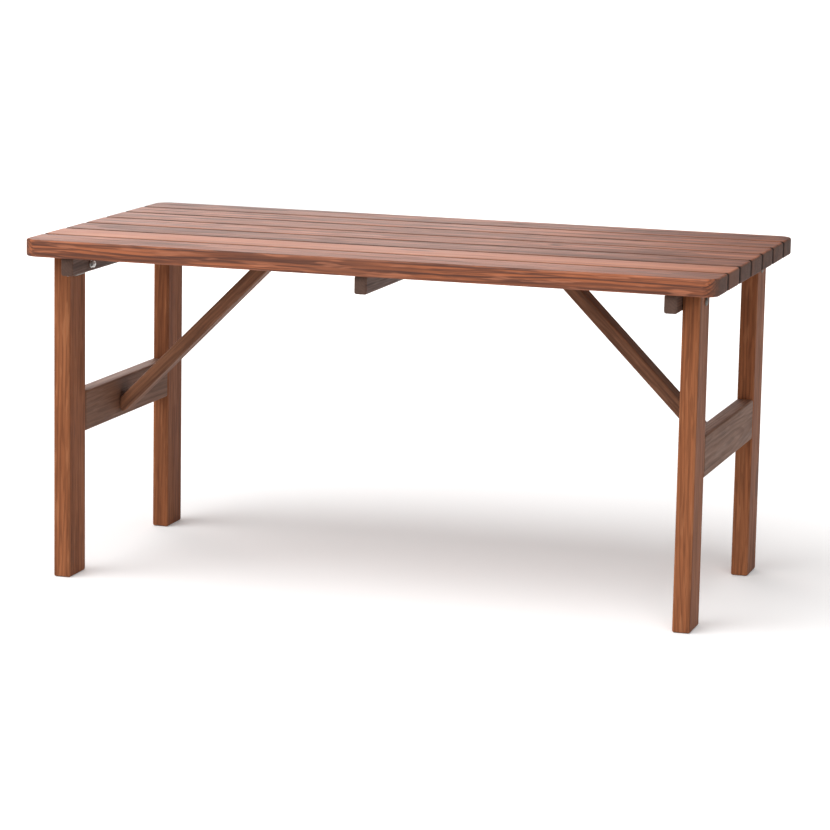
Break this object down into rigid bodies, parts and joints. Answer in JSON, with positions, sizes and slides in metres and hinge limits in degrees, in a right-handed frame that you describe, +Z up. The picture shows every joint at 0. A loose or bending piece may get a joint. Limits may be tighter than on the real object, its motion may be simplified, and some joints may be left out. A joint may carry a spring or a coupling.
{
  "type": "folding table",
  "caption": "Rectangular slatted timber table whose end frames of two legs and a crossrail fold in under the top, each held upright by a hinged diagonal brace.",
  "frame": {"origin": "on the floor under the middle of the table top", "axes": "+X along the table's length, +Y from its front edge to its back edge, +Z up"},
  "size_m": [1.5, 0.785, 0.74],
  "materials": {
    "top_pine": "satin brown stain over pine grain",
    "leg_pine": "satin brown stain over pine grain",
    "batten_pine": "thin brown stain, matt",
    "brace_pine": "satin brown stain over pine grain",
    "hinge_steel": "dull zinc-plated pressed steel",
    "zinc_steel": "bright zinc-plated steel"
  },
  "bodies": {
    "table_top": {"slat_1": "top_pine", "slat_2": "top_pine", "slat_3": "top_pine", "slat_4": "top_pine", "slat_5": "top_pine", "slat_6": "top_pine", "slat_7": "top_pine", "batten_left": "batten_pine", "batten_middle": "batten_pine", "batten_right": "batten_pine", "hinge_batten_leaf_front_left": "hinge_steel", "hinge_pin_front_left": "zinc_steel", "batten_bolt_front_left": "zinc_steel", "washer_front_left": "zinc_steel", "nut_front_left": "zinc_steel", "hinge_batten_leaf_back_left": "hinge_steel", "hinge_pin_back_left": "zinc_steel", "batten_bolt_back_left": "zinc_steel", "washer_back_left": "zinc_steel", "nut_back_left": "zinc_steel", "hinge_batten_leaf_front_right": "hinge_steel", "hinge_pin_front_right": "zinc_steel", "batten_bolt_front_right": "zinc_steel", "washer_front_right": "zinc_steel", "nut_front_right": "zinc_steel", "hinge_batten_leaf_back_right": "hinge_steel", "hinge_pin_back_right": "zinc_steel", "batten_bolt_back_right": "zinc_steel", "washer_back_right": "zinc_steel", "nut_back_right": "zinc_steel", "brace_hinge_top_leaf_left": "hinge_steel", "brace_hinge_pin_left": "zinc_steel", "brace_hinge_top_leaf_right": "hinge_steel", "brace_hinge_pin_right": "zinc_steel"},
    "leg_frame_left": {"leg_front_left": "leg_pine", "hinge_leg_leaf_front_left": "hinge_steel", "leg_bolt_front_left": "zinc_steel", "leg_back_left": "leg_pine", "hinge_leg_leaf_back_left": "hinge_steel", "leg_bolt_back_left": "zinc_steel", "crossrail_left": "leg_pine", "striking_plate_left": "zinc_steel"},
    "leg_frame_right": {"leg_front_right": "leg_pine", "hinge_leg_leaf_front_right": "hinge_steel", "leg_bolt_front_right": "zinc_steel", "leg_back_right": "leg_pine", "hinge_leg_leaf_back_right": "hinge_steel", "leg_bolt_back_right": "zinc_steel", "crossrail_right": "leg_pine", "striking_plate_right": "zinc_steel"},
    "brace_arm_left": {"brace_left": "brace_pine", "brace_hinge_leaf_left": "hinge_steel", "ball_catch_left": "zinc_steel"},
    "brace_arm_right": {"brace_right": "brace_pine", "brace_hinge_leaf_right": "hinge_steel", "ball_catch_right": "zinc_steel"}
  },
  "joints": [
    {"name": "fold_left", "type": "hinge", "parent": "table_top", "child": "leg_frame_left", "pos_m": [-0.66685, 0, 0.6587], "axis": [0, -1, 0], "range_deg": [0, 90]},
    {"name": "fold_right", "type": "hinge", "parent": "table_top", "child": "leg_frame_right", "pos_m": [0.66685, 0, 0.6587], "axis": [0, 1, 0], "range_deg": [0, 90]},
    {"name": "brace_fold_left", "type": "hinge", "parent": "table_top", "child": "brace_arm_left", "pos_m": [-0.27222, 0, 0.6987], "axis": [0, -1, 0], "range_deg": [0, 125]},
    {"name": "brace_fold_right", "type": "hinge", "parent": "table_top", "child": "brace_arm_right", "pos_m": [0.27222, 0, 0.6987], "axis": [0, 1, 0], "range_deg": [0, 125]}
  ],
  "couplings": [
    {"joint": "brace_fold_left", "follows": "fold_left", "ratio": 1.3888},
    {"joint": "brace_fold_right", "follows": "fold_right", "ratio": 1.3888}
  ]
}
